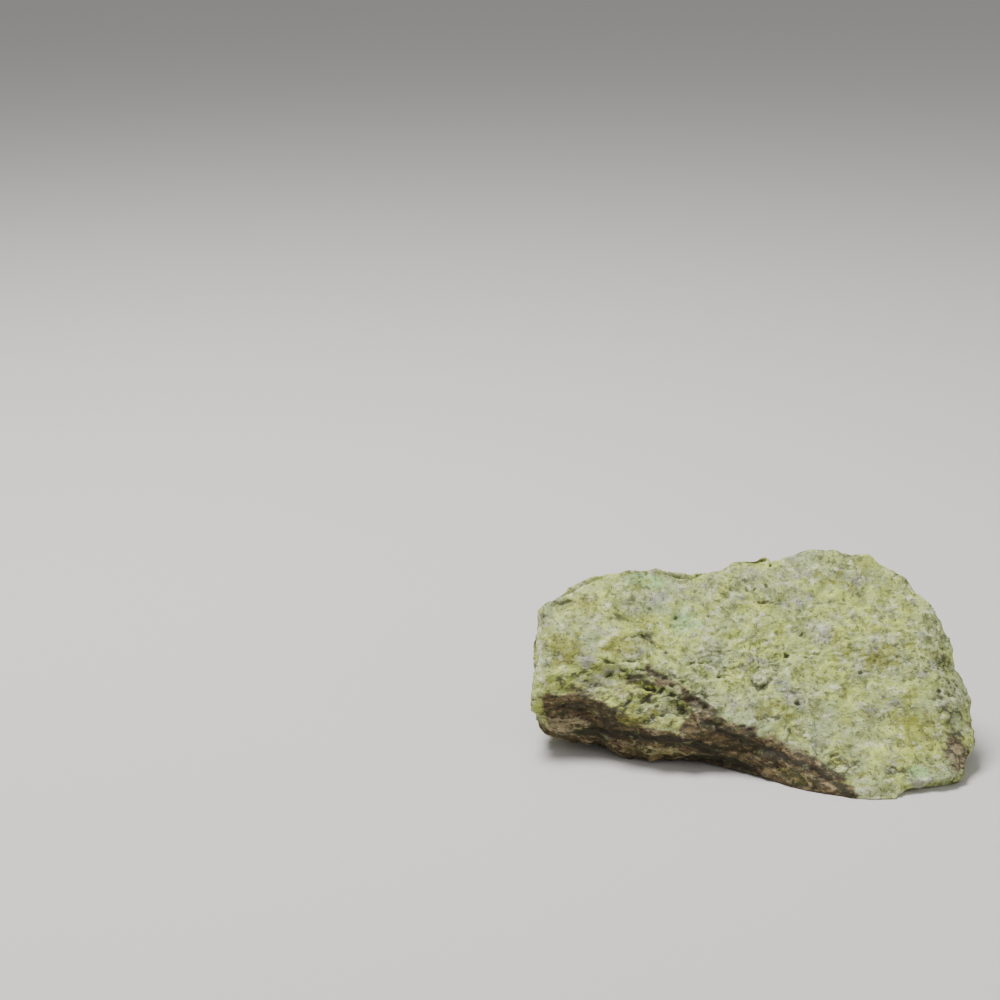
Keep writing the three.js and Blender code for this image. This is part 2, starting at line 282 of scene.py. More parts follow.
COLOUR_MARKS: dict[Mark, tuple[Patch | Line, ...]] = {
    Mark.OLIVE: (
        Patch(-52.0, 46.0, 7.0, 7.0, 0.9), Patch(-35.0, 46.5, 8.0, 4.0, 0.9),
        Patch(-46.0, 60.0, 7.0, 5.0, 0.7),
        Patch(36.5, 42.4, 7.0, 5.0, 0.9), Patch(-31.0, 66.5, 6.0, 4.0, 0.5), Patch(45.0, 22.0, 7.0, 6.0, 0.6),
        Patch(-33.0, 26.0, 9.0, 3.6, 0.9), Patch(6.0, 27.0, 8.0, 5.0, 0.5), Patch(24.0, 68.0, 12.0, 5.0, 0.4),
        Patch(-26.0, 23.6, 7.0, 2.4, 0.9), Patch(22.0, 10.0, 6.0, 4.0, 0.6), Patch(29.0, 4.0, 8.0, 4.0, 0.6),
        Patch(-27.0, 4.4, 9.0, 2.2, 1.0, Chart.FRONT), Patch(10.0, 3.0, 6.0, 2.2, 0.6, Chart.FRONT),
    ),
    Mark.LILAC: (
        Patch(-46.5, 42.4, 4.0, 3.0, 0.8), Patch(-25.2, 62.5, 5.0, 3.4, 0.8),
        Patch(11.5, 29.5, 4.5, 4.5, 0.6),
        Patch(19.6, 51.5, 6.0, 3.0, 0.5), Patch(-14.0, 48.0, 8.0, 4.0, 0.5), Patch(35.9, 50.0, 6.0, 3.0, 0.6),
        Patch(-1.0, 40.0, 6.0, 4.0, 0.5), Patch(35.0, 29.0, 8.0, 6.0, 0.45), Patch(14.0, 61.0, 7.0, 3.0, 0.5),
        Patch(-43.0, 37.0, 8.0, 2.6, 0.7), Patch(27.0, 57.0, 8.0, 2.5, 0.5),
    ),
    Mark.PALE: (
        Patch(-60.0, 45.6, 2.0, 14.0, 0.7), Patch(-52.6, 53.4, 3.0, 2.6, 0.6),
        Patch(18.8, 52.8, 4.0, 2.4, 0.7), Patch(35.8, 48.9, 3.2, 2.4, 0.8),
        Patch(-45.1, 45.6, 3.4, 2.4, 0.5), Patch(-46.5, 66.0, 6.0, 2.0, 0.6),
        Patch(-12.4, 50.0, 4.0, 3.0, 0.6), Patch(2.0, 36.6, 3.4, 2.4, 0.7), Patch(-8.0, 31.0, 8.0, 4.0, 0.4),
        Patch(-57.0, 36.0, 5.0, 2.0, 0.4), Patch(28.0, 1.5, 5.0, 1.6, 0.7),
    ),
    Mark.MINT: (
        Patch(-29.0, 68.0, 9.0, 4.0, 0.9), Patch(-18.0, 55.0, 11.0, 7.0, 0.6),
        Patch(43.3, 7.8, 4.0, 3.0, 1.0), Patch(-4.0, 55.0, 9.0, 5.0, 0.4),
    ),
    # Painted light on the lit ridges by the brow and on the front, in tan.
    Mark.TAN: (
        Line(((-22.9, 31.3), (-20.5, 29.4), (-17.3, 27.0), (-13.4, 23.8)), 1.8, 0.4),
        Line(((-0.3, 19.6), (5.0, 17.4), (11.0, 14.6), (16.0, 11.0), (20.0, 6.4)), 1.2, 0.6),
        Patch(-52.0, 9.0, 9.0, 4.2, 1.0, Chart.FRONT), Patch(-44.0, 13.0, 5.0, 1.8, 0.4, Chart.FRONT),
        Patch(-26.5, 4.8, 9.0, 2.2, 1.0, Chart.FRONT), Patch(-8.0, 7.0, 6.0, 1.6, 0.4, Chart.FRONT),
        Patch(56.0, 13.5, 4.5, 7.0, 0.9), Line(((4.0, 6.8), (12.0, 4.4), (20.0, 1.8)), 1.0, 0.7, Chart.FRONT),
    ),
    # Painted shade on the front: under the brow and along its foot.
    Mark.SHADE: (
        Line(((-48.0, 7.4), (-42.5, 7.5), (-37.0, 8.4), (-31.6, 9.0), (-26.2, 9.6), (-20.8, 9.6),
              (-15.2, 7.8), (-10.9, 5.4)), 2.0, 1.3, Chart.FRONT),
        Line(((-17.5, 2.8), (-12.1, 2.8), (-6.7, 2.8), (-1.0, 2.0)), 2.4, 1.0, Chart.FRONT),
        Line(((-14.6, 15.4), (-8.4, 12.0), (-2.9, 9.6), (2.4, 7.8)), 2.2, 0.8, Chart.FRONT),
        Line(((2.4, 8.4), (7.5, 7.2), (12.8, 6.4), (17.9, 4.4), (23.0, 1.8)), 1.7, 0.85, Chart.FRONT),
        Patch(-50.0, 15.0, 7.0, 2.6, 0.9, Chart.FRONT), Patch(-40.0, 11.6, 6.0, 2.4, 0.7, Chart.FRONT),
    ),
}

STAIN_BANDS: tuple[Patch | Line, ...] = (
    Line(((-28.6, 39.6), (-22.6, 34.9), (-17.8, 30.4), (-13.6, 25.6)), 2.4, 0.85),
    Line(((-17.0, 30.2), (-14.4, 28.2), (-12.0, 25.4)), 2.2, 1.0),
    Patch(-49.6, 34.4, 4.0, 2.0, 0.9), Patch(55.5, 14.5, 5.0, 7.5, 1.0),
    Line(((60.0, 36.0), (60.8, 26.0), (60.0, 16.0)), 2.4, 0.5), Patch(29.0, 12.5, 3.0, 1.6, 0.5),
    Line(((-36.0, 36.0), (-30.0, 37.4), (-24.0, 34.6)), 2.2, 0.6),
    Patch(-36.0, 33.0, 15.0, 6.5, 0.42), Patch(-22.0, 27.0, 9.0, 6.0, 0.4), Patch(-46.0, 36.5, 8.0, 4.0, 0.4),
)


@dataclass
class StoneSurface:
    """The stone's fine surface, cut into a divided copy of its solid.

    Attributes:
        node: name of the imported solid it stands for.
        beds: the rock's beds.
        rounds: how often the facets are divided in four.
        ease: how far each smoothing moves a point towards its neighbours.
        sole_height: below this height the stone stays flat.
        ledge: thickness of a bed and how far its edge stands out of a wall.
        flake: length of a flake of the broad face and its step.
        scale: length of the small scales on the broad face and their step.
        lumps: height and length of each wave of roughness on all sides.
        crumbs: height and length of each wave that only broken parts have.
        pit_radius: radius of the pits.
        pit_depth: depth of the pits.
        leak: how far the stain runs up over the brow.
    """

    node: str = "jade_stone"
    beds: Beds = field(default_factory=Beds)
    rounds: int = 2
    ease: float = 0.5
    sole_height: float = 0.3
    ledge: tuple[float, float] = (2.1, 0.6)
    flake: tuple[float, float] = (14.0, 0.35)
    scale: tuple[float, float] = (6.5, 0.15)
    lumps: tuple[tuple[float, float], ...] = ((0.34, 6.0), (0.24, 2.9), (0.12, 1.5))
    crumbs: tuple[tuple[float, float], ...] = ((1.0, 5.2), (0.6, 2.5), (0.22, 1.3))
    pit_radius: float = 0.95
    pit_depth: float = 0.7
    leak: float = 3.0

    def build(self) -> bpy.types.Object:
        """Make the finished stone.

        Returns:
            The stone's object, at the origin, with its masks as attributes.
        """
        mesh = bmesh.new()
        mesh.from_mesh(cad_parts[self.node].data)
        bmesh.ops.remove_doubles(mesh, verts=mesh.verts[:], dist=1e-6)
        bmesh.ops.scale(mesh, vec=(1 / MM, 1 / MM, 1 / MM), verts=mesh.verts[:])
        for _ in range(self.rounds):
            self.divide(mesh)
        self.carve(mesh)
        self.keep_in_box(mesh)
        self.mark(mesh)
        bmesh.ops.scale(mesh, vec=(MM, MM, MM), verts=mesh.verts[:])
        for face in mesh.faces:
            face.smooth = True
        data = bpy.data.meshes.new("jade_stone_surface")
        mesh.to_mesh(data)
        mesh.free()
        stone = bpy.data.objects.new("jade_stone_surface", data)
        bpy.context.scene.collection.objects.link(stone)
        return stone

    def divide(self, mesh: bmesh.types.BMesh) -> None:
        """Divide every facet in four and ease the new corners, holding the sole flat.

        Args:
            mesh: the surface, in millimetres.
        """
        bmesh.ops.subdivide_edges(mesh, edges=mesh.edges[:], cuts=1, use_grid_fill=True)
        free = [vert for vert in mesh.verts if vert.co.z > self.sole_height]
        bmesh.ops.smooth_vert(
            mesh, verts=free, factor=self.ease, use_axis_x=True, use_axis_y=True, use_axis_z=True
        )
        mesh.normal_update()

    def wallness(self, normal: Vector) -> float:
        """How much a surface is a broken wall rather than the broad face, 0 to 1."""
        return 1.0 - smooth_step(self.beds.outward(normal), 0.5, 0.84)

    def frontness(self, place: Vector, spread: float = 0.7) -> float:
        """How much a place on the beds lies below the brow of the front, 0 to 1.

        Args:
            place: a place on the beds.
            spread: how far above the brow it begins to count.

        Returns:
            The share, 0 to 1.
        """
        if place.x > BROW[-1][0]:
            return 0.0
        brow = BROW[0][1]
        for (ax, aup), (bx, bup) in zip(BROW, BROW[1:]):
            if ax <= place.x < bx:
                brow = aup + (bup - aup) * (place.x - ax) / (bx - ax)
        ragged = 1.5 * noise.noise(Vector((place.x / 4.1, place.y / 3.3, 8.0)))
        ragged += 0.9 * noise.noise(Vector((place.x / 1.7, place.y / 1.5, 2.0)))
        return smooth_step(brow - place.y + ragged, -spread, 1.1)

    def waves(self, point: Vector, sizes: tuple[tuple[float, float], ...]) -> float:
        """Sum of noise waves at a point.

        Args:
            point: a point in the stone's frame.
            sizes: height and length of each wave.

        Returns:
            The height of all the waves together.
        """
        total = 0.0
        for height, length in sizes:
            total += height * noise.noise(point / length + Vector((height * 31.0, 7.0, length)))
        return total

    def ledges(self, place: Vector) -> float:
        """How far the edges of the beds stand out of a wall.

        Args:
            place: a place on the beds.

        Returns:
            The height, above or below the wall.
        """
        thickness, step = self.ledge
        warp = 0.9 * noise.noise(Vector((place.x / 17.0, place.y / 17.0, 3.1)))
        warp += 0.3 * noise.noise(Vector((place.x / 6.0, place.y / 3.7, place.z / 3.7)))
        layer = place.z / thickness + warp
        index = math.floor(layer)
        strength = 0.55 + 0.9 * noise.noise(Vector((place.x / 8.0 + 5.7 * index, place.y / 8.0, 0.7)))
        part = layer - index
        profile = smooth_step(part, 0.0, 0.22) - part
        return 2.0 * step * max(strength, 0.0) * (profile - 0.1)

    def terraces(self, place: Vector, size: tuple[float, float], slice_at: float) -> float:
        """Height of thin flakes at a place on the broad face.

        Args:
            place: a place on the beds.
            size: length of a flake and its step.
            slice_at: which slice of the noise it follows.

        Returns:
            The height, in steps with short slopes between them.
        """
        length, step = size
        spread = Vector((place.x / length, place.y / length, slice_at))
        level = 4.2 * noise.noise(spread) + 1.3 * noise.noise(spread * 3.1) + 0.4 * noise.noise(spread * 8.0)
        index = math.floor(level)
        return step * (index + smooth_step(level - index, 0.78, 1.0))

    def pits(self, place: Vector) -> float:
        """How deep in a pit a place is: the listed pits, and small ones strewn about.

        Args:
            place: a place on the beds.

        Returns:
            The share of a pit's full depth, 0 outside them.
        """
        ragged = Vector((place.x / 0.9, place.y / 0.9, 3.3))
        x_shake, up_shake = 0.5 * noise.noise(ragged), 0.5 * noise.noise(ragged + Vector((9.0, 4.0, 7.0)))
        deepest = 0.0
        for x, up in PITS:
            away = math.hypot((place.x + x_shake - x) / 1.2, place.y + up_shake - up) / self.pit_radius
            deepest = max(deepest, 1.1 * (1.0 - away * away))
        spread = Vector(((place.x + x_shake) / 4.6, (place.y + up_shake) / 3.2, place.z / 4.6))
        distances, centres = noise.voronoi(spread)
        chance = noise.noise(centres[0] * 3.7)
        if chance > 0.05:
            away = distances[0] / (0.08 + 0.3 * chance)
            deepest = max(deepest, 0.7 * (1.0 - away * away))
        return deepest

    def cracks(self, place: Vector) -> float:
        """How deep the nearest crack is on the broad face.

        Args:
            place: a place on the beds.

        Returns:
            The depth, 0 or less outside the cracks.
        """
        shake = 0.8 * noise.noise(Vector((place.x / 2.7, place.y / 2.7, 4.4)))
        jolt = 0.5 * noise.noise(Vector((place.x / 1.1, place.y / 1.1, 9.4)))
        wear = 0.8 + 0.8 * noise.noise(Vector((place.x / 2.1, place.y / 1.6, 1.4)))
        x, up = place.x + jolt, place.y + shake + jolt
        return wear * max(crack.nearness(x, up) * crack.strength for crack in CRACKS)

    def carve(self, mesh: bmesh.types.BMesh) -> None:
        """Cut beds, flakes, pits and cracks in, and note cracks, walls and rubble in masks.

        Args:
            mesh: the surface, in millimetres.
        """
        crack_layer = mesh.verts.layers.float.new(Mark.CRACK.value)
        wall_layer = mesh.verts.layers.float.new(Mark.WALL.value)
        rubble_layer = mesh.verts.layers.float.new(Mark.RUBBLE.value)
        moves = []
        for vert in mesh.verts:
            place = self.beds.place(vert.co)
            front = self.frontness(place)
            wall = max(self.wallness(vert.normal), front)
            rubble = 0.0
            if place.z < RUBBLE_DEPTH:
                rubble = max(patch.mask(place.x, place.y) for patch in RUBBLE)
            groove = self.cracks(place) if place.z < MARKED_DEPTH else 0.0
            pit = self.pits(place)
            height = self.waves(vert.co, self.lumps)
            height += max(wall, 1.3 * rubble) * self.waves(vert.co, self.crumbs)
            height += max(wall, 0.8 * rubble) * self.ledges(place)
            flat = 1.0 - wall
            flakes = self.terraces(place, self.flake, FLAKE_SLICE)
            scales = self.terraces(place, self.scale, SCALE_SLICE)
            height += flat * flakes + flat * scales
            height -= max(groove, self.pit_depth * pit)
            vert[crack_layer] = min(max(groove, pit), 1.0)
            vert[wall_layer] = wall
            vert[rubble_layer] = max(rubble, 0.6 * front)
            moves.append(height * smooth_step(vert.co.z, 0.05, 1.6))
        for vert, height in zip(mesh.verts, moves):
            vert.co += vert.normal * height
        mesh.normal_update()

    def keep_in_box(self, mesh: bmesh.types.BMesh) -> None:
        """Hold the surface inside the solid's own box, and the sole on the ground.

        Args:
            mesh: the surface, in millimetres.
        """
        low, high = (corner / MM for corner in CAD_BOX)
        for vert in mesh.verts:
            for axis in range(3):
                vert.co[axis] = min(max(vert.co[axis], low[axis]), high[axis])
        mesh.normal_update()

    def bends(self, mesh: bmesh.types.BMesh) -> list[float]:
        """How sharply each point stands out from its neighbours, averaged over a small area.

        Args:
            mesh: the surface, in millimetres.

        Returns:
            A value for each point: above 0 on edges, below 0 in hollows.
        """
        values = []
        for vert in mesh.verts:
            around = [edge.other_vert(vert).co for edge in vert.link_edges]
            middle = sum(around, Vector()) / len(around)
            spread = sum((point - vert.co).length for point in around) / len(around)
            values.append((vert.co - middle).dot(vert.normal) / max(spread, 1e-6))
        for _ in range(3):
            values = [
                (values[vert.index] + sum(values[e.other_vert(vert).index] for e in vert.link_edges))
                / (1 + len(vert.link_edges))
                for vert in mesh.verts
            ]
        return values

    def stain_and_shade(self, place: Vector, front: float, wall: float) -> float:
        """Mask of the brown stain, which on the front also serves as painted shade: over the front, and
        thinly over the other walls.

        Args:
            place: a place on the beds.
            front: how much the place belongs to the front.
            wall: how much the place is a broken wall.

        Returns:
            The mask, 0 to 1.
        """
        rough = 0.4 + 1.0 * noise.noise(Vector((place.x / 11.0, place.y / 8.0, place.z / 4.0)))
        elsewhere = 0.5 * smooth_step(wall, 0.6, 1.0) * max(rough, 0.0) * smooth_step(place.z, 3.0, 9.0)
        bands = 0.0
        if place.z < MARKED_DEPTH:
            bands = max(band.mask(place.x, place.y) for band in STAIN_BANDS)
        clean_end = 0.2 + 0.8 * smooth_step(place.x + 2.0 * rough, -60.5, -56.0)
        return min(max(front * clean_end, elsewhere * (1.0 - front), bands), 1.0)

    def mark(self, mesh: bmesh.types.BMesh) -> None:
        """Write the masks that the colours follow: stain with the front's painted shade, edges, hollows for
        painted shade, and patches, among them painted light and shade.

        Args:
            mesh: the carved surface, in millimetres.
        """
        mesh.verts.index_update()
        layers = {
            mark: mesh.verts.layers.float.get(mark.value) or mesh.verts.layers.float.new(mark.value)
            for mark in Mark
        }
        bends = self.bends(mesh)
        for vert, bend in zip(mesh.verts, bends):
            place = self.beds.place(vert.co)
            front = self.frontness(place)
            near_top = 1.0 - smooth_step(place.z, 4.0, 8.0)
            leaked = self.frontness(place, self.leak)
            vert[layers[Mark.STAIN_AND_SHADE]] = self.stain_and_shade(place, leaked, vert[layers[Mark.WALL]])
            vert[layers[Mark.EDGE]] = smooth_step(bend, 0.03, 0.16)
            vert[layers[Mark.HOLLOW]] = smooth_step(-bend, 0.02, 0.13)
            for mark, patches in COLOUR_MARKS.items():
                reach = [0.0]
                for patch in patches:
                    if patch.chart is Chart.FACE:
                        reach.append(near_top * patch.mask(place.x, place.y))
                    else:
                        reach.append(front * patch.mask(place.x, vert.co.z))
                vert[layers[mark]] = max(reach)


class Board:
    """A shader's node tree, with short ways to place and join its nodes."""

    def __init__(self, tree: bpy.types.NodeTree) -> None:
        """Take a node tree to work on."""
        self.tree = tree

    def add(self, kind: str, inputs: dict | None = None, **settings: object) -> bpy.types.Node:
        """Place a node.

        Args:
            kind: the node's type.
            inputs: its sockets' values, or the sockets that feed them, by name or number.
            settings: its own settings.

        Returns:
            The new node.
        """
        node = self.tree.nodes.new(kind)
        for name, value in settings.items():
            setattr(node, name, value)
        for key, value in (inputs or {}).items():
            if isinstance(value, bpy.types.NodeSocket):
                self.tree.links.new(value, node.inputs[key])
            else:
                node.inputs[key].default_value = value
        return node

    def noise(self, vector: bpy.types.NodeSocket, scale: object, detail: float = 2.0,
              roughness: float = 0.5, distortion: float = 0.0) -> bpy.types.NodeSocket:
        """Value of a noise texture.

        Args:
            vector: the place it is read at.
            scale: its waves to the millimetre.
            detail: how many finer layers it has.
            roughness: how strong the finer layers are.
            distortion: how far its waves are bent.

        Returns:
            The value, from 0 to 1.
        """
        node = self.add(
            "ShaderNodeTexNoise",
            {"Vector": vector, "Scale": scale, "Detail": detail, "Roughness": roughness,
             "Distortion": distortion},
        )
        return node.outputs["Fac"]

    def stretch(self, vector: bpy.types.NodeSocket, scale: Colour, shift: Colour = (0.0, 0.0, 0.0)
                ) -> bpy.types.NodeSocket:
        """A vector stretched along each axis and shifted."""
        node = self.add("ShaderNodeMapping", {"Vector": vector, "Scale": scale, "Location": shift})
        return node.outputs["Vector"]

    def ramp(self, value: bpy.types.NodeSocket, low: float, high: float, start: float = 0.0,
             end: float = 1.0) -> bpy.types.NodeSocket:
        """A value eased from one level to another.

        Args:
            value: the value to ease.
            low: where the change begins.
            high: where it ends.
            start: the result at low.
            end: the result at high.

        Returns:
            The eased value.
        """
        node = self.add(
            "ShaderNodeMapRange",
            {"Value": value, "From Min": low, "From Max": high, "To Min": start, "To Max": end},
            interpolation_type="SMOOTHSTEP",
        )
        return node.outputs["Result"]

    def sum(self, operation: str, first: object, second: object) -> bpy.types.NodeSocket:
        """Two values joined by an operation such as ADD or MULTIPLY."""
        node = self.add("ShaderNodeMath", {0: first, 1: second}, operation=operation)
        return node.outputs["Value"]

    def mix(self, share: object, first: object, second: object, blend: str = "MIX"
            ) -> bpy.types.NodeSocket:
        """Two colours mixed by a share.

        Args:
            share: how much of the second colour there is, from 0 to 1.
            first: the first colour, or the socket that gives it.
            second: the second colour, or the socket that gives it.
            blend: how the second is laid over the first.

        Returns:
            The mixed colour.
        """
        node = self.add("ShaderNodeMix", data_type="RGBA", blend_type=blend, clamp_factor=True)
        for key, value in ((MIX_SHARE, share), (MIX_FIRST, first), (MIX_SECOND, second)):
            if isinstance(value, bpy.types.NodeSocket):
                self.tree.links.new(value, node.inputs[key])
            elif key == MIX_SHARE:
                node.inputs[key].default_value = value
            else:
                node.inputs[key].default_value = (*value, 1.0)
        return node.outputs[MIX_RESULT]

    def attribute(self, mark: Mark) -> bpy.types.NodeSocket:
        """A mask that the stone's surface carries."""
        node = self.add("ShaderNodeAttribute", attribute_name=mark.value)
        return node.outputs["Fac"]


class ShaderGroups:
    """The node groups that the stone's finish is put together from."""

    @staticmethod
    def start(name: str, inputs: dict[str, float | None], output: str
              ) -> tuple[bpy.types.NodeTree, Board, dict[str, bpy.types.NodeSocket]]:
        """Begin a group.

        Args:
            name: the group's name.
            inputs: its inputs and their usual values; None makes a vector.
            output: the name of its one output.

        Returns:
            The tree, a board to work on it, and its input sockets by name.
        """
        tree = bpy.data.node_groups.new(name, "ShaderNodeTree")
        for key, value in inputs.items():
            kind = "NodeSocketVector" if value is None else "NodeSocketFloat"
            socket = tree.interface.new_socket(name=key, in_out="INPUT", socket_type=kind)
            if value is not None:
                socket.default_value = value
        tree.interface.new_socket(name=output, in_out="OUTPUT", socket_type="NodeSocketFloat")
        board = Board(tree)
        source = board.add("NodeGroupInput")
        return tree, board, {key: source.outputs[key] for key in inputs}

    @staticmethod
    def end(tree: bpy.types.NodeTree, value: bpy.types.NodeSocket) -> bpy.types.NodeTree:
        """Join a value to the group's output.

        Args:
            tree: the group.
            value: the value it gives.

        Returns:
            The finished group.
        """
        result = tree.nodes.new("NodeGroupOutput")
        tree.links.new(value, result.inputs[0])
        return tree

    @classmethod
    def broken_patch(cls) -> bpy.types.NodeTree:
        """A mask whose border is broken up by grain, so that a patch has no clean outline.

        Returns:
            The group.
        """
        tree, board, put = cls.start(
            "broken_patch", {"Vector": None, "Mask": 0.5, "Grain": 0.35, "Breakup": 0.9}, "Mask"
        )
        coarse = board.noise(put["Vector"], put["Grain"], 4.0, 0.6)
        swing = board.sum("MULTIPLY", board.sum("SUBTRACT", coarse, 0.5), put["Breakup"])
        raised = board.sum("ADD", put["Mask"], board.sum("MULTIPLY", swing, 2.0))
        open_mask = board.ramp(raised, 0.3, 0.9)
        gate = board.ramp(put["Mask"], 0.0, 0.25)
        return cls.end(tree, board.sum("MULTIPLY", open_mask, gate))

    @classmethod
    def flecks(cls) -> bpy.types.NodeTree:
        """Small sparse grains, where a fine noise rises above a level that drifts about.

        Returns:
            The group.
        """
        tree, board, put = cls.start(
            "flecks", {"Vector": None, "Size": 0.9, "Level": 0.66, "Softness": 0.06}, "Mask"
        )
        spots = board.noise(put["Vector"], put["Size"], 3.0, 0.6)
        drift = board.sum("MULTIPLY", board.sum("SUBTRACT", board.noise(put["Vector"], 0.11), 0.5), 0.22)
        over = board.sum("SUBTRACT", board.sum("ADD", spots, drift), put["Level"])
        share = board.sum("DIVIDE", over, put["Softness"])
        return cls.end(tree, board.ramp(share, 0.0, 1.0))

    @classmethod
    def crazing(cls) -> bpy.types.NodeTree:
        """Thin broken lines between cells, as small cracks run through crumbled rock.

        Returns:
            The group.
        """
        tree, board, put = cls.start("crazing", {"Vector": None, "Size": 0.25, "Width": 0.1}, "Mask")
        shake = board.add("ShaderNodeTexNoise", {"Vector": put["Vector"], "Scale": 0.45, "Detail": 4.0})
        swing = board.add(
            "ShaderNodeVectorMath", {0: shake.outputs["Color"], "Scale": 5.0}, operation="SCALE"
        )
        bent = board.add(
            "ShaderNodeVectorMath", {0: put["Vector"], 1: swing.outputs["Vector"]}, operation="ADD"
        )
        cells = board.add(
            "ShaderNodeTexVoronoi", {"Vector": bent.outputs["Vector"], "Scale": put["Size"]},
            feature="DISTANCE_TO_EDGE",
        )
        line = board.ramp(board.sum("DIVIDE", cells.outputs["Distance"], put["Width"]), 0.0, 1.0, 1.0, 0.0)
        gaps = board.ramp(board.noise(put["Vector"], 0.3, 3.0), 0.44, 0.58)
        return cls.end(tree, board.sum("MULTIPLY", line, gaps))

    @classmethod
    def mottle(cls) -> bpy.types.NodeTree:
        """Light and dark grain about the middle, from 0 to 1.

        Returns:
            The group.
        """
        tree, board, put = cls.start("mottle", {"Vector": None, "Size": 0.7, "Contrast": 1.0}, "Value")
        grain = board.noise(put["Vector"], put["Size"], 4.0, 0.6)
        swing = board.sum("MULTIPLY", board.sum("SUBTRACT", grain, 0.5), put["Contrast"])
        return cls.end(tree, board.sum("ADD", swing, 0.5))


@dataclass(frozen=True)
class JadeFinish:
    """The stone's colours and gloss, as seen in daylight, with painted shade on the front and in the stone's
    hollows, pits and cracks, and painted light on the front's ridges.

    Attributes:
        yellow_green: the usual pale ground.
        grey_green: the greyer ground it shades into.
        olive: the yellow-brown patches.
        moss: the darker clouds between them.
        lilac: the lavender-grey patches.
        pale: the whitish bruises and worn edges.
        mint: the clear green patches.
        dark: the dark flecks, and the painted shade in hollows, pits and cracks.
        brown: the iron stain of the front, kept dark as painted shade where the front faces down.
        umber: the stain where it is thickest, in seams, and the painted shade under ledges and along the foot
            of the front.
        earth: the stain where it is thinner.
        tan: pale tan streaks of the stained front, and the painted light on its lit ridges.
        roughness: the roughness of the broad face and of the walls.
    """

    yellow_green: Colour = linear(183, 194, 90)
    grey_green: Colour = linear(156, 168, 116)
    olive: Colour = linear(136, 137, 42)
    moss: Colour = linear(106, 110, 58)
    lilac: Colour = linear(148, 144, 142)
    pale: Colour = linear(214, 215, 178)
    mint: Colour = linear(152, 192, 122)
    dark: Colour = linear(56, 56, 32)
    brown: Colour = linear(74, 55, 36)
    umber: Colour = linear(34, 25, 17)
    earth: Colour = linear(116, 99, 64)
    tan: Colour = linear(170, 156, 118)
    roughness: tuple[float, float] = (0.68, 0.85)

    def place(self, board: Board, group: bpy.types.NodeTree, **inputs: object) -> bpy.types.NodeSocket:
        """Place a group with its values and give its one output."""
        named = {key.capitalize(): value for key, value in inputs.items()}
        return board.add("ShaderNodeGroup", named, node_tree=group).outputs[0]

    def grey(self, board: Board, value: bpy.types.NodeSocket) -> bpy.types.NodeSocket:
        """A value as a grey colour."""
        return board.add("ShaderNodeCombineColor", {0: value, 1: value, 2: value}).outputs["Color"]

    def ground(self, board: Board, space: bpy.types.NodeSocket, patch: bpy.types.NodeTree
               ) -> bpy.types.NodeSocket:
        """The ground colour: yellow-green clouded with grey, olive, lilac and white.

        Args:
            board: the material's board.
            space: the place on the beds, in millimetres.
            patch: the group that breaks up a mask.

        Returns:
            The ground colour.
        """
        streaks = board.stretch(space, (1.05, 1.0, 1.5))
        large = board.ramp(board.noise(streaks, 0.06, 3.0, 0.55, 0.6), 0.38, 0.64)
        colour = board.mix(large, self.yellow_green, self.grey_green)
        small = board.ramp(board.noise(streaks, 0.26, 3.0, 0.55, 0.4), 0.42, 0.70)
        colour = board.mix(board.sum("MULTIPLY", small, 0.5), colour, self.grey_green)
        for tint, scale, low, share, shift in (
            (self.olive, 0.13, 0.54, 0.6, (31.0, 4.0, 9.0)),
            (self.lilac, 0.17, 0.55, 0.7, (40.0, 9.0, 3.0)),
            (self.moss, 0.24, 0.52, 0.75, (3.0, 41.0, 22.0)),
            (self.pale, 0.34, 0.54, 0.75, (7.0, 70.0, 5.0)),
            (self.pale, 0.9, 0.58, 0.4, (51.0, 22.0, 6.0)),
        ):
            moved = board.stretch(space, (1.05, 1.0, 1.4), shift)
            cloud = board.ramp(board.noise(moved, scale, 5.0, 0.66), low, low + 0.11)
            colour = board.mix(board.sum("MULTIPLY", cloud, share), colour, tint)
        for mark, tint, share, breakup in (
            (Mark.MINT, self.mint, 0.72, 0.9), (Mark.OLIVE, self.olive, 0.8, 1.7),
            (Mark.LILAC, self.lilac, 0.72, 0.9), (Mark.PALE, self.pale, 0.72, 0.9),
        ):
            masked = board.attribute(mark)
            mask = self.place(board, patch, vector=space, mask=masked, grain=0.42, breakup=breakup)
            colour = board.mix(board.sum("MULTIPLY", mask, share), colour, tint)
        return colour

    def stained_and_shaded(self, board: Board, space: bpy.types.NodeSocket, patch: bpy.types.NodeTree
                ) -> bpy.types.NodeSocket:
        """The colour of the stained front, kept dark as painted shade: brown in streaks along the beds, with
        painted light on tan ridges and painted shade in umber.

        Args:
            board: the material's board.
            space: the place on the beds, in millimetres.
            patch: the group that breaks up a mask.

        Returns:
            The stained colour, with its painted light and shade.
        """
        # Painted shade: the brown and earth tones stay dark so that the front reads as lying in shadow.
        streaks = board.stretch(space, (0.6, 1.1, 1.5))
        base = board.ramp(board.noise(streaks, 0.36, 5.0, 0.68, 1.0), 0.41, 0.61)
        colour = board.mix(base, self.brown, self.earth)
        moved = board.stretch(streaks, (1, 1, 1), (5, 60, 8))
        light = board.ramp(board.noise(moved, 0.55, 5.0, 0.64), 0.54, 0.66)
        colour = board.mix(board.sum("MULTIPLY", light, 0.7), colour, self.tan)
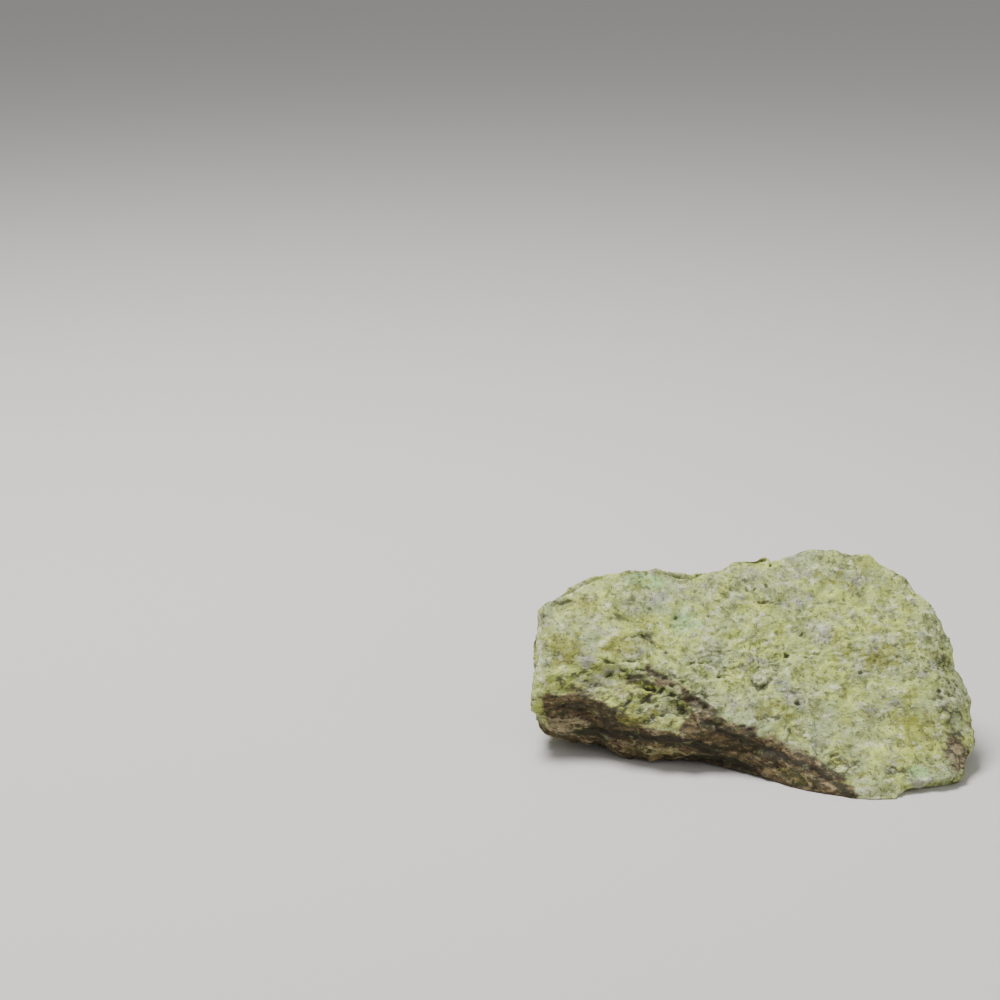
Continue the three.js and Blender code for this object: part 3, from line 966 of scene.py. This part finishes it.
        # Painted light: the TAN marks lighten the lit ridges of the front in tan.
        for mark, tint, share in ((Mark.OLIVE, self.olive, 0.5), (Mark.TAN, self.tan, 0.7)):
            masked = board.attribute(mark)
            mask = self.place(board, patch, vector=streaks, mask=masked, grain=0.6, breakup=1.1)
            colour = board.mix(board.sum("MULTIPLY", mask, share), colour, tint)
        moved = board.stretch(streaks, (1, 1, 1), (70, 6, 2))
        seams = board.ramp(board.noise(moved, 0.5, 5.0, 0.64), 0.53, 0.63)
        colour = board.mix(board.sum("MULTIPLY", seams, 0.85), colour, self.umber)
        # Painted shade: the SHADE lines darken the front to umber under the brow and along its foot.
        masked = board.attribute(Mark.SHADE)
        shade = self.place(board, patch, vector=streaks, mask=masked, grain=0.5, breakup=0.8)
        return board.mix(board.sum("MULTIPLY", shade, 0.92), colour, self.umber)

    def wear(self, board: Board, space: bpy.types.NodeSocket, colour: bpy.types.NodeSocket,
             fleck: bpy.types.NodeTree, craze: bpy.types.NodeTree) -> bpy.types.NodeSocket:
        """Lay worn edges, flecks and fine crack lines over the colours, and painted shade in hollows, cracks
        and pits.

        Args:
            board: the material's board.
            space: the place on the beds, in millimetres.
            colour: the colour so far.
            fleck: the group of sparse grains.
            craze: the group of thin broken lines.

        Returns:
            The finished colour.
        """
        rubbed = board.ramp(board.noise(space, 0.5, 3.0), 0.36, 0.6)
        edge = board.sum("MULTIPLY", board.attribute(Mark.EDGE), rubbed)
        colour = board.mix(board.sum("MULTIPLY", edge, 0.35), colour, self.pale)
        for stretch, shift, size, level, share in (
            ((0.75, 1.1, 1.6), (0.0, 0.0, 0.0), 0.7, 0.58, 0.6),
            ((1.1, 0.7, 1.2), (13.0, 5.0, 31.0), 1.1, 0.59, 0.6),
            ((1.1, 1.0, 1.3), (8.0, 55.0, 21.0), 0.42, 0.59, 0.5),
        ):
            grains = board.stretch(space, stretch, shift)
            specks = self.place(board, fleck, vector=grains, size=size, level=level, softness=0.07)
            colour = board.mix(board.sum("MULTIPLY", specks, share), colour, self.dark)
        # Painted shade: hollows darkened towards the dark colour.
        colour = board.mix(board.sum("MULTIPLY", board.attribute(Mark.HOLLOW), 0.6), colour, self.dark)
        lines = self.place(board, craze, vector=board.stretch(space, (0.6, 1.0, 1.0)), size=0.34, width=0.22)
        broken = board.ramp(board.attribute(Mark.RUBBLE), 0.05, 0.45)
        crazed = board.sum("MULTIPLY", lines, broken)
        colour = board.mix(board.sum("MULTIPLY", crazed, 0.9), colour, self.dark)
        # Painted shade: the carved cracks and pits darkened, with ragged edges.
        ragged = board.sum("MULTIPLY", board.sum("SUBTRACT", board.noise(space, 1.1, 3.0), 0.5), 1.2)
        crack = board.ramp(board.sum("ADD", board.attribute(Mark.CRACK), ragged), 0.25, 0.75)
        return board.mix(board.sum("MULTIPLY", crack, 0.85), colour, self.dark)

    def bump(self, board: Board, space: bpy.types.NodeSocket) -> bpy.types.NodeSocket:
        """The finest roughness, too small for the mesh.

        Args:
            board: the material's board.
            space: the place on the beds, in millimetres.

        Returns:
            The bent normal.
        """
        grain = board.noise(space, 1.3, 3.0, 0.6)
        sugar = board.noise(space, 5.0, 2.0, 0.6)
        height = board.sum("ADD", grain, board.sum("MULTIPLY", sugar, 0.3))
        node = board.add("ShaderNodeBump", {"Height": height, "Strength": 0.7, "Distance": 0.5 * MM})
        return node.outputs["Normal"]

    def material(self) -> bpy.types.Material:
        """Make the jade material.

        Returns:
            The material, with every pattern on the stone's own place and masks.
        """
        made = bpy.data.materials.new("jade")
        made.use_nodes = True
        made.node_tree.nodes.clear()
        board = Board(made.node_tree)
        patch, fleck, mottle = ShaderGroups.broken_patch(), ShaderGroups.flecks(), ShaderGroups.mottle()
        place = board.add("ShaderNodeTexCoord").outputs["Object"]
        space = board.add(
            "ShaderNodeMapping",
            {"Vector": place, "Rotation": (math.radians(-Beds().tilt_deg), 0.0, 0.0), "Scale": (1 / MM,) * 3},
        ).outputs["Vector"]
        # Painted shade: the front's brown stain mask also stands for the shade that the down-facing front
        # lies in.
        stain_and_shade = self.place(board, patch, vector=board.stretch(space, (0.6, 1.0, 1.2)),
                           mask=board.attribute(Mark.STAIN_AND_SHADE), grain=0.42, breakup=1.0)
        colour = board.mix(stain_and_shade, self.ground(board, space, patch), self.stained_and_shaded(board, space, patch))
        grains = board.stretch(space, (1.05, 1.0, 1.4))
        grain = self.place(board, mottle, vector=grains, size=0.38, contrast=1.9)
        colour = board.mix(0.5, colour, self.grey(board, grain), "OVERLAY")
        fine = self.place(board, mottle, vector=space, size=2.2, contrast=1.1)
        colour = board.mix(0.3, colour, self.grey(board, fine), "OVERLAY")
        colour = self.wear(board, space, colour, fleck, ShaderGroups.crazing())
        shader = board.add("ShaderNodeBsdfPrincipled", {
            "Base Color": colour,
            "Roughness": board.ramp(board.attribute(Mark.WALL), 0.0, 1.0, *self.roughness),
            "Normal": self.bump(board, space),
        })
        shader.inputs["IOR"].default_value = 1.55
        shader.inputs["Specular IOR Level"].default_value = 0.42
        board.add("ShaderNodeOutputMaterial", {"Surface": shader.outputs["BSDF"]})
        return made


@dataclass
class Studio:
    """The plain floor, the soft lights and the camera.

    Attributes:
        camera_at: the camera's place, in metres.
        pitch_deg: how far it looks down.
        lens: its lens on a 36 mm frame.
        floor_half: half the floor's width, in metres.
        floor_colour: the floor's paint.
        lights: each light's name, place, size in metres and power in watts.
        aim: the point that the lights face, in metres.
        sky: strength of the even white sky.
    """

    camera_at: Colour = (-0.0705945, -0.5879929, 0.2557)
    pitch_deg: float = 17.3
    lens: float = 80.0
    floor_half: float = 12.0
    floor_colour: Colour = (0.60, 0.585, 0.56)
    lights: tuple[tuple[str, Colour, float, float], ...] = (
        ("key", (-0.30, 0.16, 0.95), 0.42, 16.5),
        ("fill", (0.75, -0.65, 0.60), 0.8, 2.2),
    )
    aim: Colour = (0.0, 0.0, 0.02)
    sky: float = 0.4

    def build(self) -> None:
        """Make the floor, the lights, the sky and the camera."""
        self.floor()
        for name, place, size, power in self.lights:
            self.light(name, place, size, power)
        self.sky_light()
        self.camera()

    def floor(self) -> None:
        """Make the floor and keep it out of the object."""
        mesh = bmesh.new()
        bmesh.ops.create_grid(mesh, x_segments=1, y_segments=1, size=self.floor_half)
        data = bpy.data.meshes.new("floor")
        mesh.to_mesh(data)
        mesh.free()
        floor = bpy.data.objects.new("floor", data)
        bpy.context.scene.collection.objects.link(floor)
        made = bpy.data.materials.new("floor_paint")
        made.use_nodes = True
        shader = made.node_tree.nodes["Principled BSDF"]
        shader.inputs["Base Color"].default_value = (*self.floor_colour, 1.0)
        shader.inputs["Roughness"].default_value = 0.9
        data.materials.append(made)

    def light(self, name: str, place: Colour, size: float, power: float) -> None:
        """Make one soft square light that faces the stone.

        Args:
            name: the light's name.
            place: where it hangs, in metres.
            size: its width, in metres.
            power: its power, in watts.
        """
        data = bpy.data.lights.new(name, "AREA")
        data.shape = "SQUARE"
        data.size = size
        data.energy = power
        lamp = bpy.data.objects.new(name, data)
        towards = Vector(self.aim) - Vector(place)
        lamp.location = place
        lamp.rotation_euler = towards.to_track_quat("-Z", "Y").to_euler()
        bpy.context.scene.collection.objects.link(lamp)

    def sky_light(self) -> None:
        """Set an even white sky."""
        world = bpy.data.worlds.new("sky")
        world.use_nodes = True
        background = world.node_tree.nodes["Background"]
        background.inputs["Color"].default_value = (1.0, 1.0, 1.0, 1.0)
        background.inputs["Strength"].default_value = self.sky
        bpy.context.scene.world = world

    def camera(self) -> None:
        """Make the camera at the photograph's viewing angle."""
        data = bpy.data.cameras.new("camera")
        data.lens = self.lens
        data.sensor_width = 36.0
        data.clip_start = 0.01
        data.clip_end = 50.0
        camera = bpy.data.objects.new("camera", data)
        camera.location = self.camera_at
        camera.rotation_euler = (math.radians(90.0 - self.pitch_deg), 0.0, 0.0)
        bpy.context.scene.collection.objects.link(camera)
        bpy.context.scene.camera = camera


def main() -> None:
    """Build the stone and its studio."""
    logging.basicConfig(level=logging.INFO, format="%(name)s: %(message)s")
    Studio().build()
    surface = StoneSurface()
    stone = surface.build()
    stone.data.materials.append(JadeFinish().material())
    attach(stone, "root")
    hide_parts(surface.node)
    log.info("stone: %d points, %d faces", len(stone.data.vertices), len(stone.data.polygons))


if __name__ == "__main__":
    main()
